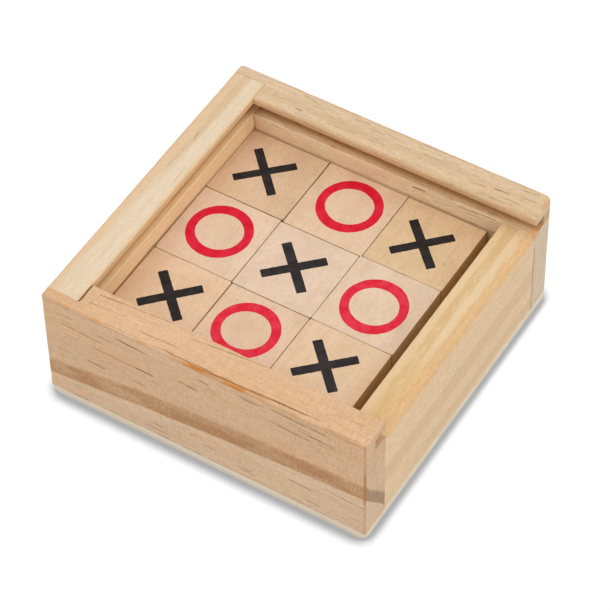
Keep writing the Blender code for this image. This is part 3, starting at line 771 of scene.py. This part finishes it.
def block_wood(place, colour, seed, axis="Y", contrast=1.0, blush=None):
    """Close-grained block wood with faint, short pores and a soft figure."""
    g = Graph("block_wood_" + place)
    g.coords()
    ax = "XYZ".index(axis)
    off = (seed * 3.1, seed * 7.7, seed * 1.9)
    r, gg, b = colour
    light = srgb(min(255, r + 7), min(255, gg + 7), min(255, b + 8))
    base = srgb(r, gg, b)
    deep = srgb(r - 15, gg - 18, b - 21)
    broad = g.noise(stretched(g, axis, 0.035, 0.11, off), 1.0, 2.0, 0.5)
    mid = g.noise(stretched(g, axis, 0.06, 0.55, off), 1.0, 3.0, 0.6)
    fine = g.noise(stretched(g, axis, 0.20, 2.6, off), 1.0, 3.0, 0.6)
    mottled = g.noise(g.v("ADD", g.P, off), 0.85, 4.0, 0.68)
    clouds = g.noise(g.v("ADD", g.P, off), 0.16, 2.0, 0.5)
    col = g.mix(g.step(broad, 0.30, 0.70), light, base)
    col = g.mix(g.mul(g.step(mid, 0.48, 0.72), 0.25 * contrast), col, deep)
    col = g.mix(g.mul(g.step(clouds, 0.42, 0.70), 0.30 * contrast), col, deep)
    pores = g.noise(stretched(g, axis, 0.55, 3.0, off), 1.0, 1.0, 0.5)
    n_axis = g.m("ABSOLUTE", g.xyz(g.N)[ax])
    end = g.step(n_axis, 0.55, 0.85)
    side = g.sub(1.0, end)
    pore = g.mul(g.step(pores, 0.62, 0.76), g.mul(side, 0.24 * contrast))
    col = g.mix(pore, col, srgb(176, 136, 98))
    dots = g.voronoi(g.v("ADD", g.P, off), 2.2)
    dot = g.mul(g.step(dots, 0.16, 0.08), g.mul(end, 0.35))
    col = g.mix(end, col, g.mix(1.0, col, (0.88, 0.83, 0.77, 1.0), "MULTIPLY"))
    col = g.mix(dot, col, srgb(120, 86, 58))
    k = g.mad(g.sub(fine, 0.5), 0.12, 1.0)
    k = g.mad(g.sub(mottled, 0.5), 0.28, k)
    col = g.mix(1.0, col, g.combine(k, k, k), "MULTIPLY")
    if blush is not None:
        cx, cy, rad = blush
        d = g.v("LENGTH", g.v("SUBTRACT", g.P, (cx, cy, 28.2)))
        n2 = g.noise(g.P, 1.3, 3.0, 0.7)
        spot = g.step(g.add(d, g.mul(n2, 2.0)), rad, rad + 1.4, 1.0, 0.0)
        col = g.mix(g.mul(spot, 0.5), col, srgb(232, 150, 140))
    # The sides are painted darker and browner than the top and bottom, painted shade for the narrow gaps they stand in.
    up = g.m("ABSOLUTE", g.xyz(g.N)[2])
    col = g.mix(g.step(up, 0.7, 0.3, 0.0, 1.0), col, g.mix(1.0, col, (0.78, 0.75, 0.62, 1.0), "MULTIPLY"))
    height = g.sub(g.add(g.mul(fine, 0.5), g.mul(mottled, 0.7)), g.add(g.mul(pore, 1.2), dot))
    return g.finish(col, g.mad(mid, 0.16, 0.50), height, bump=0.28, bump_mm=0.10)


def ink(name, colour, worn, seed, grain_show=0.25):
    """Matt printed ink: slightly uneven, thinner where the wood's pores take it."""
    g = Graph(name)
    g.coords()
    off = (seed * 2.3, seed * 4.1, seed)
    cloud = g.noise(g.v("ADD", g.P, off), 0.35, 3.0, 0.6)
    pores = g.noise(stretched(g, "Y", 0.5, 4.0, off), 1.0, 2.0, 0.6)
    grit = g.noise(g.v("ADD", g.P, off), 5.0, 2.0, 0.7)
    col = g.mix(g.step(cloud, 0.35, 0.65), colour, worn)
    thin = g.mul(g.step(pores, 0.60, 0.78), grain_show)
    col = g.mix(thin, col, worn)
    k = g.mad(g.sub(grit, 0.5), 0.22, 1.0)
    col = g.mix(1.0, col, g.combine(k, k, k), "MULTIPLY")
    return g.finish(col, g.mad(grit, 0.2, 0.50), g.add(grit, pores), bump=0.15, bump_mm=0.05, spec=0.18)


# ------------------------------------------------------------------ tray
def make_long_wall(node, side, material, seed):
    low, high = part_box(node)
    low = Vector(low)
    low.z = BASE_TOP + 0.02 * MM
    hl, hw, iy, top = HALF_L / MM, HALF_W / MM, INNER_Y / MM, WALL_TOP / MM
    skin = hw - 3.3
    shoulder = -INNER_X / MM + (0.05 if side < 0 else -0.02)
    if side < 0:
        plan = arc(-hl + 0.7, -hw + 0.7, 0.7, 180, 270, 5) + arc(hl - 0.5, -hw + 0.5, 0.5, 270, 360, 3)
        plan += [(hl, -iy), (shoulder, -iy), (shoulder, -skin), (-hl, -skin)]
    else:
        plan = [(-hl, skin), (shoulder, skin), (shoulder, iy), (hl, iy)]
        plan += arc(hl - 2.4, hw - 2.4, 2.4, 0, 90, 8) + arc(-hl + 1.0, hw - 1.0, 1.0, 90, 180, 6)
    ob = to_object(node + "_board", plan_prism(plan, low.z, WALL_TOP))
    g0, g1 = sorted((side * (INNER_Y + 5 * MM), side * (INNER_Y - 6 * MM)))
    cut_boxes(ob, [((-HALF_L - 5 * MM, g0, GROOVE_FLOOR), (HALF_L + 5 * MM, g1, GROOVE_TOP))])

    def radius(mid, axis):
        if mid.z > top - 0.1:
            if abs(mid.x) < hl - 0.05 and abs(abs(mid.y) - iy) < 0.1:
                return 0.75
            if abs(mid.x - shoulder) < 0.1 or (mid.x < shoulder and abs(abs(mid.y) - skin) < 0.1):
                return 0.05
            if side > 0:
                return 0.3
            return 0.45 if mid.x > hl - 0.6 else 0.9
        if axis == 0 and abs(abs(mid.y) - iy) < 0.1 and abs(mid.z - GROOVE_TOP / MM) < 0.1:
            return 0.45
        if axis == 0 and abs(abs(mid.y) - iy) < 0.1 and abs(mid.z - GROOVE_FLOOR / MM) < 0.1:
            return 0.40
        if axis == 2 and mid.x > hl - 0.1 and abs(abs(mid.y) - iy) < 0.1:
            return 0.03
        return 0.08
    weighted_bevel(ob, 1.2, radius, 4)
    work_surface(ob, 1.6, low, high, seed, 0, wear=0.12)
    if side > 0:
        tear_out(ob, seed)
    return finish_piece(ob, material, node, "tray")


def tear_out(ob, seed):
    """Torn grain in the inner corner at the closed end, where the housing was chopped."""
    bm = bmesh.new()
    bm.from_mesh(ob.data)
    for v in bm.verts:
        p = v.co / MM
        if -40.4 < p.x < -38.6 and 39.9 < p.y < 40.6 and 28.5 < p.z < 34.0:
            k = max(0.0, fbm((p.x * 2, p.y, p.z), 0.9, seed + 40)) * (1 - abs(p.x + 39.9) / 1.6)
            v.co.y += 0.9 * max(0.0, k) * MM
    bm.to_mesh(ob.data)
    bm.free()


make_long_wall("front_wall", -1, FRONT, 5.0)
make_long_wall("back_wall", 1, BACK, 9.0)

low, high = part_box("closed_end_wall")
low, high = Vector(low), Vector(high)
low.z = BASE_TOP + 0.02 * MM
high.x = -INNER_X - 0.02 * MM
low.y, high.y = low.y - 0.18 * MM, high.y + 0.12 * MM
closed = to_object("closed_end_wall_board", cube_bm(low, high))
cut_boxes(closed, [((-INNER_X - 4 * MM, -HALF_W - 5 * MM, GROOVE_FLOOR), (-INNER_X + 5 * MM, HALF_W + 5 * MM, GROOVE_TOP))])


def closed_radius(mid, axis):
    if axis == 1:
        if mid.z > 39:
            return 0.3 if mid.x < -49.5 else 0.5
        if mid.x > -40.6:
            return 0.35
    return 0.06


weighted_bevel(closed, 1.2, closed_radius, 4)


def open_joint(p):
    """The housing was cut a little wide, so a ragged gap shows beside the low front lip."""
    if p.y < -40.15 and p.x > -40.9 and p.z > 30.0:
        edge = -40.32 + 0.14 * fbm((p.x * 0.0, p.y, p.z), 1.4, 6.0)
        return Vector((min(p.x, edge), p.y, p.z))
    return p


work_surface(closed, 1.6, low, high, 14.0, 1, shape=open_joint)
finish_piece(closed, CLOSED, "closed_end_wall", "tray")

low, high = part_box("open_end_wall")
low, high = Vector(low), Vector(high)
low.z = BASE_TOP + 0.02 * MM
low.y, high.y = low.y - 0.2 * MM, high.y + 0.2 * MM
opened = to_object("open_end_wall_board", cube_bm(low, high))


def open_radius(mid, axis):
    if axis == 1 and mid.z > 33:
        return 2.1 if mid.x > 49.5 else 0.3
    return 0.03


weighted_bevel(opened, 2.2, open_radius, 5)
work_surface(opened, 1.6, low, high, 21.0, 1, wear=0.07)
finish_piece(opened, OPEN, "open_end_wall", "tray")

low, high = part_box("base_panel")
hx, hy, cr = high.x / MM, high.y / MM, 2.2
outline = (arc(-hx + cr, -hy + cr, cr, 180, 270) + arc(hx - cr, -hy + cr, cr, 270, 360)
           + arc(hx - cr, hy - cr, cr, 0, 90) + arc(-hx + cr, hy - cr, cr, 90, 180))
base = to_object("base_panel_sheet", plan_prism(outline, low.z, high.z))
weighted_bevel(base, 1.0, lambda mid, axis: 0.8 if mid.z < 1 else 0.25, 4)
work_surface(base, 2.2, low, high, 27.0, 0, wave=0.02, fine=0.006, wear=0.12)
finish_piece(base, base_wood(), "base_panel", "tray")

# ------------------------------------------------------------------ blocks
TINTS = {
    "back_left": (224, 190, 154), "back_mid": (230, 198, 165), "back_right": (229, 196, 154),
    "mid_left": (234, 203, 174), "centre": (233, 205, 178), "mid_right": (233, 205, 176),
    "front_left": (233, 198, 162), "front_mid": (233, 199, 168), "front_right": (233, 200, 164),
}


# Width of each seam between two blocks, and how far its middle lies from the middle of the CAD gap, in mm.
SEAMS = {
    ("back_left", "back_mid"): (0.24, -0.20), ("back_mid", "back_right"): (0.13, 0.0),
    ("mid_left", "centre"): (0.15, -0.40), ("centre", "mid_right"): (0.09, -0.42),
    ("front_left", "front_mid"): (0.27, 0.0), ("front_mid", "front_right"): (0.13, -0.42),
    ("mid_left", "back_left"): (0.16, 0.40), ("centre", "back_mid"): (0.13, 0.0), ("mid_right", "back_right"): (0.02, 0.40),
    ("front_left", "mid_left"): (0.06, 0.20), ("front_mid", "centre"): (0.16, 0.0), ("front_right", "mid_right"): (0.05, 0.20),
}
# How far the blocks of the left column and the back row reach past their CAD box to lean on the walls, in mm.
LEAN_LEFT = {"back_left": 0.34, "mid_left": 0.28, "front_left": 0.22}
LEAN_BACK = {"back_left": 0.16, "back_mid": 0.24, "back_right": 0.12}


def block_box(place):
    """The CAD block's box, with the sides that face other blocks moved out to the seams."""
    low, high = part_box("block_" + place)
    low, high = Vector(low), Vector(high)
    for (a, b), (gap, shift) in SEAMS.items():
        if place not in (a, b):
            continue
        lo_a, hi_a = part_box("block_" + a)
        lo_b, hi_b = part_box("block_" + b)
        ax = 0 if lo_b.x > hi_a.x - 2 * MM else 1
        middle = (hi_a[ax] + lo_b[ax]) / 2 + shift * MM
        if place == a:
            high[ax] = middle - gap / 2 * MM
        else:
            low[ax] = middle + gap / 2 * MM
    low.x -= LEAN_LEFT.get(place, 0.0) * MM
    high.y += LEAN_BACK.get(place, 0.0) * MM
    return low, high


def make_block(place, index):
    node = "block_" + place
    low, high = block_box(place)
    ob = to_object(node + "_cube", cube_bm(low, high))
    weighted_bevel(ob, 0.6, lambda mid, axis: 0.5 if axis == 2 else (0.18 if mid.z > 20 else 0.30), 3)
    work_surface(ob, 2.1, low, high, 31.0 + index * 2.7, 1, wave=0.03, fine=0.006, wear=0.10, top_flat=True)
    blush = None
    if place == "front_mid":
        lo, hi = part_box("o_mark_front_mid")
        blush = ((lo.x + hi.x) / 2 / MM + 2.2, hi.y / MM + 0.6, 0.8)
    mat = block_wood(place, TINTS[place], 1.0 + index * 1.37, contrast=1.15 if "back_right" in place else 1.0, blush=blush)
    return finish_piece(ob, mat, node, place)


def ragged(points, seed, amount, spacing=0.22):
    """Closed outline in mm, resampled, with the small bleeds of a printed edge."""
    out = []
    n = len(points)
    for i in range(n):
        a, b = Vector(points[i]), Vector(points[(i + 1) % n])
        length = (b - a).length
        k = max(1, int(round(length / spacing)))
        t = (b - a).normalized()
        nrm = Vector((t.y, -t.x))
        for j in range(k):
            p = a.lerp(b, j / k)
            w = noise.noise(Vector((p.x * 1.1, p.y * 1.1, seed))) * 0.7 + noise.noise(Vector((p.x * 3.1, p.y * 3.1, seed + 5))) * 0.6
            out.append(p + nrm * (w * amount))
    return out


def cross_outline(arm, stroke):
    """Two strokes crossing at right angles, with slightly rounded ends."""
    h, s, r = arm / 2, stroke / 2, 0.18
    full = []
    for q in range(4):
        c, d = math.cos(q * math.pi / 2), math.sin(q * math.pi / 2)
        for x, y in ((h - r, -s), (h, -s + r), (h, s - r), (h - r, s), (s, s)):
            full.append((x * c - y * d, x * d + y * c))
    return full


def flat_print(name, loops, z0, z1):
    """A thin layer with the outlines given: one loop, or an outer and an inner one."""
    bm = bmesh.new()
    if len(loops) == 1:
        verts = [bm.verts.new((p.x, p.y, z1)) for p in loops[0]]
        face = bm.faces.new(verts)
        face.normal_update()
        tri = bmesh.ops.triangulate(bm, faces=[face], ngon_method="EAR_CLIP")
        made = bmesh.ops.extrude_face_region(bm, geom=list(tri["faces"]))
        down = [v for v in made["geom"] if isinstance(v, bmesh.types.BMVert)]
        for v in down:
            v.co.z = z0
    else:
        outer, inner = loops
        rows = []
        for loop, z in ((outer, z1), (inner, z1), (inner, z0), (outer, z0)):
            rows.append([bm.verts.new((p.x, p.y, z)) for p in loop])
        n = len(outer)
        for a in range(4):
            ra, rb = rows[a], rows[(a + 1) % 4]
            for i in range(n):
                j = (i + 1) % n
                bm.faces.new((ra[i], ra[j], rb[j], rb[i]))
    bmesh.ops.recalc_face_normals(bm, faces=bm.faces)
    return to_object(name, bm)


BLACK = ink("black_printing_ink", srgb(35, 32, 30), srgb(49, 44, 42), 1.0)
PALE_BLACK = ink("black_printing_ink_thin", srgb(42, 38, 38), srgb(56, 51, 51), 5.0)
RED = ink("red_printing_ink", srgb(228, 30, 54), srgb(236, 58, 78), 2.0, 0.35)
DEEP_RED = ink("red_printing_ink_heavy", srgb(220, 10, 42), srgb(230, 36, 64), 4.0, 0.30)


CROSS_SIZES = {"back_left": (18.25, 2.58), "back_right": (18.4, 2.70), "centre": (18.55, 2.86),
               "front_left": (18.3, 2.78), "front_right": (18.3, 2.78)}


def make_mark(place, index):
    cross = place in CROSSES
    node = ("x_mark_" if cross else "o_mark_") + place
    low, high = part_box(node)
    cx, cy = (low.x + high.x) / 2 / MM, (low.y + high.y) / 2 / MM
    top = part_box("block_" + place)[1].z
    seed = 3.0 + index * 4.3
    if cross:
        turn = math.radians(45 + (-1.2, 0.8, 0.4, 1.0, -0.5, 0, 0.9, 0, -0.7)[index])
        pts = [Vector((x * math.cos(turn) - y * math.sin(turn), x * math.sin(turn) + y * math.cos(turn)))
               for x, y in cross_outline(*CROSS_SIZES[place])]
        loops = [[p + Vector((cx, cy)) for p in ragged(pts, seed, 0.075)]]
    else:
        n = 260
        loops = []
        for rx, ry, s2 in ((9.40, 9.70, 0.0), (6.86, 6.58, 7.0)):
            loop = []
            for i in range(n):
                a = 2 * math.pi * i / n
                x, y = math.cos(a), math.sin(a)
                w = noise.noise(Vector((x * 1.3, y * 1.3, seed + s2))) * 0.10
                w += noise.noise(Vector((x * 7.0, y * 7.0, seed + s2))) * 0.06
                w += noise.noise(Vector((x * 22.0, y * 22.0, seed + s2))) * 0.05
                loop.append(Vector((cx + x * (rx + w), cy + y * (ry + w))))
            loops.append(loop)
    ob = flat_print(node + "_print", loops, top - 0.06 * MM, top + 0.02 * MM)
    for v in ob.data.vertices:
        v.co.x *= MM
        v.co.y *= MM
    red = DEEP_RED if place in ("back_mid", "mid_left") else RED
    black = PALE_BLACK if place in ("centre", "front_right") else BLACK
    return finish_piece(ob, black if cross else red, node, place)


for i, place in enumerate(PLACES):
    make_block(place, i)
    make_mark(place, i)

# ------------------------------------------------------------------ stage
scene = bpy.context.scene


def floor_material():
    """White paper floor: bright everywhere, shaded only where something stands close."""
    g = Graph("studio_floor")
    g.coords()
    ao = g.node("ShaderNodeAmbientOcclusion", samples=16, only_local=False)
    beside = g.step(g.X, 49.5, 52.0)
    reach = g.lin(g.Y, -50.0, 50.0, 4.1, 3.0)
    g.put(ao.inputs["Distance"], g.mul(g.add(g.mul(beside, g.sub(reach, 5.0)), 5.0), MM))
    shade = g.step(ao.outputs["AO"], 0.50, 0.96, 0.40, 1.0)
    e = g.node("ShaderNodeEmission")
    g.put(e.inputs["Color"], g.combine(shade, shade, shade))
    lp = g.node("ShaderNodeLightPath")
    g.put(e.inputs["Strength"], g.mad(lp.outputs["Is Camera Ray"], 0.13, 0.90))
    # Seen from beneath, the floor is clear.
    clear = g.node("ShaderNodeBsdfTransparent")
    side = g.node("ShaderNodeNewGeometry")
    pick = g.node("ShaderNodeMixShader")
    g.nt.links.new(side.outputs["Backfacing"], pick.inputs[0])
    g.nt.links.new(e.outputs[0], pick.inputs[1])
    g.nt.links.new(clear.outputs[0], pick.inputs[2])
    g.nt.links.new(pick.outputs[0], g.out.inputs[0])
    return g.mat


bm = bmesh.new()
bmesh.ops.create_grid(bm, x_segments=8, y_segments=8, size=1.5)
floor = to_object("studio_floor_sheet", bm)
floor.location.z = -0.0002
floor.data.materials.append(floor_material())

world = bpy.data.worlds.new("studio_world")
scene.world = world
world.use_nodes = True
wt = world.node_tree
wt.nodes.clear()
out = wt.nodes.new("ShaderNodeOutputWorld")
tc = wt.nodes.new("ShaderNodeTexCoord")
sep = wt.nodes.new("ShaderNodeSeparateXYZ")
wt.links.new(tc.outputs["Generated"], sep.inputs[0])
ramp = wt.nodes.new("ShaderNodeMapRange")
ramp.interpolation_type = "SMOOTHSTEP"
for i, v in enumerate((0, 0.0, 0.9, 0.64, 0.82)):
    if i:
        ramp.inputs[i].default_value = v
wt.links.new(sep.outputs[2], ramp.inputs[0])
lp = wt.nodes.new("ShaderNodeLightPath")
pick = wt.nodes.new("ShaderNodeMix")
pick.data_type = "FLOAT"
wt.links.new(lp.outputs["Is Camera Ray"], pick.inputs[0])
wt.links.new(ramp.outputs[0], pick.inputs[2])
pick.inputs[3].default_value = 1.03
bg = wt.nodes.new("ShaderNodeBackground")
wt.links.new(pick.outputs[0], bg.inputs["Strength"])
wt.links.new(bg.outputs[0], out.inputs[0])


def softbox(name, location, target, size, power, colour=(1, 1, 1)):
    data = bpy.data.lights.new(name, "AREA")
    data.shape = "RECTANGLE"
    data.size, data.size_y = size
    data.energy = power
    data.color = colour
    ob = bpy.data.objects.new(name, data)
    scene.collection.objects.link(ob)
    ob.location = location
    d = Vector(target) - Vector(location)
    ob.rotation_euler = d.to_track_quat("-Z", "Y").to_euler()
    return ob


softbox("key_softbox", (-0.25, -0.30, 0.62), (0, 0, 0.02), (0.45, 0.45), 1.15, (1.0, 0.985, 0.96))
softbox("side_softbox", (0.62, -0.12, 0.30), (0, 0, 0.02), (0.5, 0.4), 0.62, (1.0, 0.985, 0.96))
softbox("top_softbox", (0.25, 0.25, 0.70), (0, 0, 0.02), (0.6, 0.6), 0.95, (1.0, 0.99, 0.975))

# ------------------------------------------------------------------ camera
az, el, roll = math.radians(32.2454), math.radians(49.6475), math.radians(-1.0932)
back = Vector((math.sin(az) * math.cos(el), -math.cos(az) * math.cos(el), math.sin(el)))
right = (-back).cross(Vector((0, 0, 1))).normalized()
up = right.cross(-back)
r2 = right * math.cos(roll) + up * math.sin(roll)
u2 = up * math.cos(roll) - right * math.sin(roll)
cam_data = bpy.data.cameras.new("main_camera")
cam_data.sensor_width = 36.0
cam_data.lens = 36.0 * 2999.588 / 610.0
cam_data.shift_x, cam_data.shift_y = -0.5 / 610.0, 0.5 / 610.0
cam_data.clip_start, cam_data.clip_end = 0.01, 50.0
cam = bpy.data.objects.new("main_camera", cam_data)
scene.collection.objects.link(cam)
rot = Matrix((r2, u2, back)).transposed().to_4x4()
cam.matrix_world = Matrix.Translation(Vector((-6.101, 11.748, 0.0)) * MM + back * 842.965 * MM) @ rot
scene.camera = cam

scene.view_settings.view_transform = "Standard"
scene.view_settings.look = "None"
scene.view_settings.exposure = 0.0
scene.view_settings.gamma = 1.0

bpy.context.view_layer.update()
